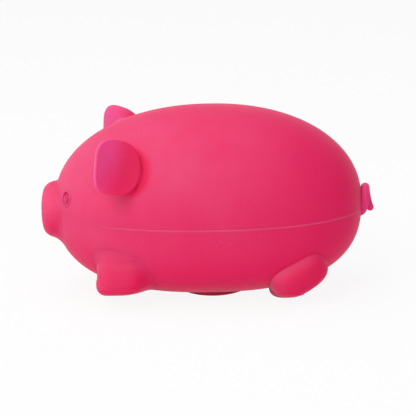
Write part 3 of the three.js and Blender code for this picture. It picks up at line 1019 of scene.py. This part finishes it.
def rubber_group():
    """Soft moulded rubber: cloudy colour, pale bloom with a painted highlight, painted shade in creases, flow
    marks, specks and a fine grain.
    """
    name = "soft_rubber_surface"
    if name in bpy.data.node_groups:
        return bpy.data.node_groups[name]
    tree = bpy.data.node_groups.new(name, "ShaderNodeTree")
    numbers = ("Crease", "Bloom", "Settled", "Specks", "Roughness")
    sockets(tree, "INPUT", "Vector", "Vector", "Normal")
    sockets(tree, "INPUT", "Color", "Color", "Bloom Color", "Deep Color")
    sockets(tree, "INPUT", "Float", *numbers)
    sockets(tree, "OUTPUT", "Color", "Color")
    sockets(tree, "OUTPUT", "Float", "Roughness", "Height")
    entry = tree.nodes.new("NodeGroupInput").outputs
    number = {label: Field(tree, entry[label]) for label in numbers}

    def noise(scale, detail, stretch=(1, 1, 1)):
        mapped = node(tree, "ShaderNodeMapping", Vector=entry["Vector"], Scale=stretch).outputs[0]
        texture = node(tree, "ShaderNodeTexNoise", Vector=mapped, Scale=scale, Detail=detail)
        return Field(tree, texture.outputs[0])

    cloud = noise(scale=45.0, detail=2.0)
    flow = noise(scale=220.0, detail=3.0, stretch=(1.0, 1.0, 0.12))
    grain = noise(scale=2600.0, detail=2.0)
    cells = node(tree, "ShaderNodeTexVoronoi", Vector=entry["Vector"], Scale=330.0)
    patchy = calc(tree, "MAXIMUM", noise(scale=70.0, detail=1.0) - NOISE_MIDDLE, 0.0) * SPECK_PATCHES
    speck = calc(tree, "MAXIMUM", SPECK_SIZE - Field(tree, cells.outputs["Distance"]), 0.0)
    speck = speck * SPECK_STRENGTH * patchy
    # Settled bloom and a painted highlight on surfaces that face the lamps: forward, to either side and up
    forward, aside, up = parts_of(tree, entry["Normal"])
    aside = calc(tree, "ABSOLUTE", aside)
    toward = forward * HIGHLIGHT_SIDE[0] + aside * HIGHLIGHT_SIDE[1] + up * HIGHLIGHT_SIDE[2]
    toward = calc(tree, "MAXIMUM", toward, 0.0)
    dust_and_highlight = number["Bloom"] + number["Settled"] * toward * toward
    dust_and_highlight = dust_and_highlight * (CLOUD_LEAST + CLOUD_MORE * cloud) * (FLOW_LEAST + FLOW_MORE * flow)
    # Painted shade in creases: no bloom or painted highlight there, and the deep crease colour instead
    dust_and_highlight_share = calc(tree, "MINIMUM", dust_and_highlight + speck * number["Specks"], 1.0) * (1.0 - number["Crease"])
    plain = mixed(tree, number["Crease"], entry["Color"], entry["Deep Color"])
    rough = number["Roughness"] + (flow - NOISE_MIDDLE) * FLOW_ROUGH + (grain - NOISE_MIDDLE) * GRAIN_ROUGH
    node(
        tree,
        "NodeGroupOutput",
        Color=mixed(tree, dust_and_highlight_share, plain, entry["Bloom Color"]),
        Roughness=rough,
        Height=grain * GRAIN_RAISED + flow * FLOW_RAISED + speck * SPECK_RAISED,
    )
    return tree


def marked(tree, label):
    """A mark's number at each point of a piece."""
    reader = tree.nodes.new("ShaderNodeAttribute")
    reader.attribute_name = label
    return Field(tree, reader.outputs["Fac"])


def rubber(name, finish):
    """A soft rubber finish with light that sinks in a little, made once."""
    if name in bpy.data.materials:
        return bpy.data.materials[name]
    material = bpy.data.materials.new(name)
    material.use_nodes = True
    tree = material.node_tree
    shader = tree.nodes["Principled BSDF"]
    place = tree.nodes.new("ShaderNodeTexCoord").outputs
    base, dust_and_highlight, settled_dust_and_highlight, specks, roughness, bump = RUBBERS[name]
    surface = tree.nodes.new("ShaderNodeGroup")
    surface.node_tree = rubber_group()
    fill(
        tree,
        surface,
        Vector=place["Object"],
        Normal=place["Normal"],
        Color=(*getattr(finish, base), 1),
        Bloom_Color=(*finish.dust, 1),
        Deep_Color=(*finish.deep, 1),
        Crease=marked(tree, "crease"),
        Bloom=dust_and_highlight,
        Settled=settled_dust_and_highlight,
        Specks=specks,
        Roughness=roughness,
    )
    height = surface.outputs["Height"]
    fill(
        tree,
        shader,
        Base_Color=surface.outputs["Color"],
        Roughness=surface.outputs["Roughness"],
        Normal=node(tree, "ShaderNodeBump", Strength=bump, Distance=BUMP_HEIGHT, Height=height).outputs[0],
        Specular_IOR_Level=0.13,
        Subsurface_Weight=0.25,
        Subsurface_Radius=(1.0, 0.25, 0.35),
        Subsurface_Scale=2.0 * MM,
        Sheen_Weight=0.03,
        Sheen_Roughness=0.45,
        Sheen_Tint=(1.0, 0.72, 0.8, 1),
    )
    if name == "pale_gel":
        fill(tree, shader, Transmission_Weight=0.6)
    if name == "pink_lump_rubber":
        # Painted highlight on a lump's ridges, and a purer pink painted where it is thin, as light coming
        # through
        pink = mixed(tree, marked(tree, "thin"), (*finish.skin, 1), (*finish.thin, 1))
        fill(tree, surface, Bloom=marked(tree, "ridge") * RIDGE_HIGHLIGHT + dust_and_highlight, Color=pink)
        fill(tree, shader, Subsurface_Weight=0.6, Subsurface_Scale=4.0 * MM)
        fill(tree, shader, Subsurface_Radius=(1.0, 0.2, 0.5))
    return material


def background_rays(tree):
    """1 for the rays that show the background to a camera, straight or by way of a shiny or clear surface."""
    path = tree.nodes.new("ShaderNodeLightPath").outputs
    seen = Field(tree, path["Is Camera Ray"])
    for kind in ("Is Glossy Ray", "Is Transmission Ray"):
        seen = calc(tree, "MAXIMUM", seen, Field(tree, path[kind]))
    return seen


# Operators


def eye_seat(body, eye):
    """Where the left eye sits: its middle on the skin, and its axes across, up and out as columns."""
    centre, out = skin_point(body, eye.behind_nose - body.nose_reach, eye.lift)
    across = np.cross((0, 0, 1), out)
    across /= np.linalg.norm(across)
    return centre, np.stack([across, np.cross(out, across), out], 1)


def sink_for_eyes(piece, body, eye):
    """Sinks a piece's points under both eyes."""
    centre, axes = eye_seat(body, eye)
    points = points_of(piece)
    side = to_left(points)
    place = (points * side - centre) @ axes
    spread = np.hypot(place[:, 0] / (eye.width / 2), place[:, 1] / (eye.height / 2))
    depth = np.clip((SEAT_EDGE - spread) / SEAT_WALL, 0, 1) * (np.abs(place[:, 2]) < SEAT_REACH)
    points -= side * (depth[:, None] * eye.seat * axes[:, 2])
    piece.data.vertices.foreach_set("co", points.ravel())
    piece.data.update()


class PIG_OT_skin(bpy.types.Operator):
    """Build the two halves of the skin and the fine bead along their joint"""

    bl_idname = "pig.skin"
    bl_label = "Skin"

    def execute(self, context):
        toy = context.scene.pig_toy
        body = toy.body
        sizes = picked(body, BODY_SIZES)
        tree = body_tree()
        for half, node_name in ((1, "skin_upper"), (-1, "skin_lower")):
            values = {**sizes, **SKIN_MESH, "grow": 0.0}
            piece = from_tree(f"{node_name}_form", tree, rubber("pink_soft_rubber", toy.finish), values)
            cut_flat(piece, SEAM, half)
            # Painted shadow on the skin round the ears and rear legs
            mark(piece, "crease", creases(toy, points_of(piece)))
            sink_for_eyes(piece, body, toy.eyes)
            wall = piece.modifiers.new("wall", "SOLIDIFY")
            wall.thickness = body.wall
            wall.offset = -1
            sharpened(settled(piece))
            soft(piece, "skin", node_name)
        values = {
            **sizes,
            **BEAD_MESH,
            "seam_drop": body.axis_height - SEAM,
            "grow": body.bead_proud - body.bead_radius,
            "radius": body.bead_radius,
        }
        # The bead's paler rubber is a painted highlight along the joint
        soft(from_tree("joint_bead", bead_tree(), rubber("bead_highlight_rubber", toy.finish), values), "skin")
        return {"FINISHED"}


class PIG_OT_filling(bpy.types.Operator):
    """Build the soft filling and finish the stopper of its port"""

    bl_idname = "pig.filling"
    bl_label = "Filling"

    def execute(self, context):
        toy = context.scene.pig_toy
        values = {**picked(toy.body, BODY_SIZES), **GEL_MESH, "grow": -toy.body.wall - GEL_CLEARANCE}
        tree = bpy.data.node_groups["plump_body"]
        piece = from_tree("gel_filling_form", tree, rubber("pale_gel", toy.finish), values)
        cut_flat(piece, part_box("fill_plug")[1].z + GEL_CLEARANCE, 1, closed=True)
        soft(piece, "gel", "gel_filling")
        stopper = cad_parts["fill_plug"].data
        stopper.materials.clear()
        stopper.materials.append(rubber("patch_rubber", toy.finish))
        return {"FINISHED"}


class PIG_OT_snout(bpy.types.Operator):
    """Build the snout with its nostrils"""

    bl_idname = "pig.snout"
    bl_label = "Snout"

    def execute(self, context):
        toy = context.scene.pig_toy
        body, snout = toy.body, toy.snout
        tip = np.array([body.section_x - body.nose_reach - snout.reach, 0, body.axis_height - snout.drop])
        nostril = (NOSTRIL_REACH * snout.nostril_depth, snout.nostril_width / 2, snout.nostril_height / 2)

        def oval(place):
            return np.hypot(place[..., 1] / (snout.width / 2), place[..., 2] / (snout.height / 2))

        def side_value(points):
            place = points - tip
            behind = np.clip(place[..., 0] / (snout.reach + snout.root), 0, 1)
            return (oval(place) - 1) * snout.height / 2 - snout.flare * behind

        def front_value(points):
            place = points - tip
            return snout.crown * oval(place) ** 2 - place[..., 0]

        def nostril_value(points):
            return ball(np.abs(points - tip) - (0, snout.nostril_spread / 2, 0), nostril)

        def lump(points):
            stub = common(gap(side_value, points), gap(front_value, points), SNOUT_EDGE * snout.edge)
            return common(stub, -gap(nostril_value, points), NOSTRIL_EDGE)

        def fillet(points):
            low = np.clip((tip[2] - points[..., 2]) / SNOUT_LOW, 0, 1)
            return SNOUT_FILLET + SNOUT_LOW_FILLET * low

        form = grown_on(body, lump, fillet, SNOUT_MARGIN)
        high = tip + (snout.reach, 0, 0) + SNOUT_BEHIND
        points, faces = surface_of(form, tip - SNOUT_AHEAD, high, LUMP_PITCH)
        finish = rubber("pink_lump_rubber", toy.finish)
        piece = add_mesh("snout_form", points, faces, finish, ridge=ridges(form, points))
        soft(piece, "skin", "snout")
        return {"FINISHED"}


class PIG_OT_eyes(bpy.types.Operator):
    """Build both eyes with their rims and pupils"""

    bl_idname = "pig.eyes"
    bl_label = "Eyes"

    def execute(self, context):
        toy = context.scene.pig_toy
        body, eye = toy.body, toy.eyes
        centre, axes = eye_seat(body, eye)
        inner = (eye.width / 2 - eye.rim, eye.height / 2 - eye.rim)
        pupil = (eye.pupil / 2, eye.pupil / 2 * PUPIL_TALL, eye.pupil_proud)

        def local(points):
            return (points - centre) @ axes

        def oval_value(points):
            return ball(local(points)[..., :2], inner)

        def pupil_value(points):
            return ball(local(points) + (0, 0, eye.depth), pupil)

        def form(points):
            edge = gap(oval_value, points)
            height = local(points)[..., 2]
            rim = np.hypot(edge, height + RIM_SINK) - eye.rim
            skin = np.maximum(skin_gap(body, points) + SKIRT_DEPTH, edge - LID_REACH)
            lid = np.where(edge > 0, joined(rim, skin, LID_FILLET), rim)
            disc = common(edge, height + eye.depth, DISC_EDGE)
            inside = joined(disc, gap(pupil_value, points), PUPIL_FILLET)
            return np.maximum(joined(lid, inside, PUPIL_FILLET), -(height + eye.seat - RIM_SINK))

        points, faces = surface_of(form, centre - EYE_ROOM, centre + EYE_ROOM, EYE_PITCH)
        # Painted shade in the hollow inside the eye's rim
        inside = ramp(-gap(oval_value, points), 0, eye.rim)
        marks = {"ridge": ridges(form, points), "crease": EYE_CREASE_SHARE * inside}
        finish = rubber("pink_lump_rubber", toy.finish)
        for side, piece in both_sides("eye", points, faces, finish, **marks).items():
            soft(piece, "skin", f"eye_{side}")
        return {"FINISHED"}


class PIG_OT_ears(bpy.types.Operator):
    """Build both cupped ears"""

    bl_idname = "pig.ears"
    bl_label = "Ears"

    def execute(self, context):
        toy = context.scene.pig_toy
        body, ear = toy.body, toy.ears
        centre, local, lump = ear_form(body, ear)
        form = grown_on(body, lump, ear.fillet, ear.fillet + EAR_MARGIN)
        points, faces = surface_of(form, centre - EAR_ROOM, centre + EAR_ROOM, EAR_PITCH)
        hinge = Vector(EAR_HINGE)
        line = Vector(EAR_HINGE_LINE).normalized()
        free = Vector(centre) - hinge
        free -= line * free.dot(line)
        # A purer pink painted towards the ear's free edge, as light coming through it
        thin = ramp((points - EAR_HINGE) @ np.array(free.normalized()) / free.length, *EAR_THIN)
        place = local(points)
        # Painted shade on the back of the ear and at its root
        back = place[:, 0] / (ear.width / 2) + EAR_SHADE_LEAN * place[:, 2] / (ear.height / 2)
        shaded = EAR_SHADE_SHARE * ramp(back, *EAR_SHADE) * (1 - ramp(place[:, 1], *EAR_SHADE_DEPTH))
        root = 1 - ramp(skin_gap(body, points), *EAR_ROOT_CREASE)
        ridge = ridges(form, points)
        crease = np.maximum(shaded, root * behind_ear(place))
        thin = thin * (1 - crease) * (1 - EAR_RIDGE_SHARE * ridge)
        marks = {"ridge": ridge, "thin": thin, "crease": crease}
        finish = rubber("pink_lump_rubber", toy.finish)
        for side, piece in both_sides("ear", points, faces, finish, **marks).items():
            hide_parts(f"ear_{side}")
            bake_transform(piece)
        return {"FINISHED"}


class PIG_OT_legs(bpy.types.Operator):
    """Build the four legs with their flat soles"""

    bl_idname = "pig.legs"
    bl_label = "Legs"

    def execute(self, context):
        toy = context.scene.pig_toy
        finish = rubber("pink_lump_rubber", toy.finish)
        for kind in ("front", "rear"):
            points, faces, marks = self.lobe(toy.body, getattr(toy, f"{kind}_leg"))
            for side, piece in both_sides(f"leg_{kind}", points, faces, finish, **marks).items():
                soft(piece, "skin", f"leg_{kind}_{side}")
        return {"FINISHED"}

    def lobe(self, body, leg):
        """Points, faces and marks of a left leg."""
        centre, lump = leg_form(body, leg)

        def fillet(points):
            behind = ramp((points[..., 0] - centre[0]) / leg.lobe.length_x, *LEG_BEHIND)
            low, top = ramp(points[..., 2], *LEG_LOW), ramp(points[..., 2], *LEG_TOP)
            return leg.fillet + leg.flare * np.maximum(behind * low, top)

        low = centre - LEG_ROOM
        low[2] = LEG_UNDER
        form = grown_on(body, lump, fillet, leg.fillet + leg.flare + LEG_MARGIN)
        points, faces = surface_of(form, low, centre + LEG_ROOM, LUMP_PITCH)
        # Painted shade on the upper part of a leg that stands off the skin
        leg_shade = ramp(points[:, 2], *LEG_SHADE_HEIGHT) * ramp(skin_gap(body, points), *LEG_SHADE_DEPTH)
        return points, faces, {"ridge": ridges(form, points), "crease": LEG_SHADE_SHARE * leg_shade}


class PIG_OT_tail(bpy.types.Operator):
    """Build the coiled tail"""

    bl_idname = "pig.tail"
    bl_label = "Tail"

    def execute(self, context):
        toy = context.scene.pig_toy
        body, tail = toy.body, toy.tail
        rump = body.section_x + body.rump_reach
        values = {
            **picked(tail, (*TAIL_SIZES, *TAIL_MESH)),
            "root_x": rump - tail.sink,
            "middle_z": body.axis_height + tail.rise,
        }
        piece = from_tree("tail_form", tail_tree(), rubber("pink_lump_rubber", toy.finish), values)
        # A purer pink painted over the whole tail, as light coming through it
        mark(piece, "thin", [tail.thin] * len(piece.data.vertices))
        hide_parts("tail")
        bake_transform(piece)
        return {"FINISHED"}


class PIG_OT_patch(bpy.types.Operator):
    """Build the round patch under the belly"""

    bl_idname = "pig.patch"
    bl_label = "Patch"

    def execute(self, context):
        toy = context.scene.pig_toy
        patch = toy.patch

        def disc(points):
            outside = np.hypot(points[..., 0] - patch.place_x, points[..., 1]) - patch.diameter / 2
            rim = common(outside, -points[..., 2], 2 * patch.edge)
            groove = np.hypot(outside + GROOVE_INSET, points[..., 2]) - GROOVE
            return np.maximum(common(rim, -groove, GROOVE), points[..., 2] - patch.thickness)

        half = patch.diameter / 2 + PATCH_ROOM
        low = (patch.place_x - half, -half, -PATCH_OVER)
        high = (patch.place_x + half, half, patch.thickness + PATCH_OVER)
        points, faces = surface_of(disc, low, high, PATCH_PITCH)
        piece = add_mesh("belly_patch_form", points, faces, rubber("patch_rubber", toy.finish))
        soft(piece, "patch", "belly_patch")
        return {"FINISHED"}


# The floor's reach, its grey, and how much of it a camera sees as plain white
FLOOR_REACH = 3.0
FLOOR_GREY = 0.9
FLOOR_WHITE = 0.9

# The surround's strength on the toy, where the lamps point, and each lamp's place, size and power
SURROUND = 0.3
LAMP_TARGET = Vector((0, 0, 0.03))
LAMPS = {
    "key": ((-0.45, -0.6, 0.7), 0.6, 3.6),
    "side": ((-0.95, -0.1, 0.3), 0.8, 2.0),
    "top": ((-0.15, 0.1, 0.95), 0.9, 3.9),
    "fill": ((0.35, -0.9, 0.25), 0.7, 2.1),
}
SENSOR_WIDTH = 36.0


class PIG_OT_stage(bpy.types.Operator):
    """Set the pale floor, the soft light and the camera"""

    bl_idname = "pig.stage"
    bl_label = "Stage"

    def execute(self, context):
        scene = context.scene
        scene.view_settings.view_transform = "Standard"
        self.floor()
        self.light(scene)
        self.camera(scene)
        return {"FINISHED"}

    def floor(self):
        """A wide pale floor that a camera sees as white, apart from the toy's shadow."""
        material = bpy.data.materials.new("pale_floor")
        material.use_nodes = True
        tree = material.node_tree
        tree.nodes.remove(tree.nodes["Principled BSDF"])
        plain = node(tree, "ShaderNodeBsdfDiffuse", Color=(FLOOR_GREY, FLOOR_GREY, FLOOR_GREY, 1))
        white = node(tree, "ShaderNodeEmission", Color=(1, 1, 1, 1), Strength=1.0)
        mix = node(tree, "ShaderNodeMixShader", Fac=background_rays(tree) * FLOOR_WHITE)
        tree.links.new(plain.outputs[0], mix.inputs[1])
        tree.links.new(white.outputs[0], mix.inputs[2])
        fill(tree, tree.nodes["Material Output"], Surface=mix.outputs[0])
        points = np.array([(-1, -1, 0), (1, -1, 0), (1, 1, 0), (-1, 1, 0)]) * FLOOR_REACH
        add_mesh("studio_floor", points, [(0, 1, 2, 3)], material)

    def light(self, scene):
        """A large soft key from the upper left front, three more lamps and an even surround."""
        scene.world = bpy.data.worlds.new("studio")
        scene.world.use_nodes = True
        tree = scene.world.node_tree
        strength = either(background_rays(tree), 1.0, SURROUND)
        fill(tree, tree.nodes["Background"], Color=(1, 1, 1, 1), Strength=strength)
        for name, (place, size, power) in LAMPS.items():
            lamp = bpy.data.lights.new(name, "AREA")
            lamp.shape = "DISK"
            lamp.size = size
            lamp.energy = power
            holder = bpy.data.objects.new(name, lamp)
            holder.location = place
            holder.rotation_euler = (LAMP_TARGET - Vector(place)).to_track_quat("-Z", "Y").to_euler()
            scene.collection.objects.link(holder)

    def camera(self, scene):
        """A long lens a little above the toy's side."""
        studio = scene.pig_toy.studio
        level, drop = math.cos(studio.elevation), math.sin(studio.elevation)
        right = Vector((math.cos(studio.yaw), -math.sin(studio.yaw), 0))
        look = Vector((math.sin(studio.yaw) * level, math.cos(studio.yaw) * level, -drop))
        up = right.cross(look)
        tilted_right = right * math.cos(studio.roll) + up * math.sin(studio.roll)
        tilted_up = up * math.cos(studio.roll) - right * math.sin(studio.roll)
        lens = bpy.data.cameras.new("camera")
        lens.lens = studio.lens
        lens.sensor_width = SENSOR_WIDTH
        camera = bpy.data.objects.new("camera", lens)
        turn = Matrix((tilted_right, tilted_up, -look)).transposed()
        place = Vector(studio.target) - look * studio.distance
        camera.matrix_world = Matrix.Translation(place) @ turn.to_4x4()
        scene.collection.objects.link(camera)
        scene.camera = camera


class PIG_PT_panel(bpy.types.Panel):
    """Every step of the toy in order"""

    bl_idname = "PIG_PT_panel"
    bl_label = "Pig Squeeze Toy"
    bl_space_type = "VIEW_3D"
    bl_region_type = "UI"
    bl_category = "Pig"

    def draw(self, context):
        for step in STEPS:
            self.layout.operator(step.bl_idname)


STEPS = (
    PIG_OT_stage,
    PIG_OT_skin,
    PIG_OT_filling,
    PIG_OT_snout,
    PIG_OT_eyes,
    PIG_OT_ears,
    PIG_OT_legs,
    PIG_OT_tail,
    PIG_OT_patch,
)
GROUPS = (
    PigBody,
    PigSnout,
    PigEyes,
    PigEars,
    PigLobe,
    PigLeg,
    PigTail,
    PigPatch,
    PigFinish,
    PigStudio,
    PigToy,
)
CLASSES = (*GROUPS, *STEPS, PIG_PT_panel)


def register():
    for cls in CLASSES:
        bpy.utils.register_class(cls)
    bpy.types.Scene.pig_toy = PointerProperty(type=PigToy)


def unregister():
    del bpy.types.Scene.pig_toy
    for cls in reversed(CLASSES):
        bpy.utils.unregister_class(cls)


def main():
    register()
    toy = bpy.context.scene.pig_toy
    for path, sizes in LEGS.items():
        leg = attrgetter(path)(toy)
        for name, size in sizes.items():
            setattr(leg, name, size)
    for step in STEPS:
        group, name = step.bl_idname.split(".")
        getattr(getattr(bpy.ops, group), name)()


if __name__ == "__main__":
    main()
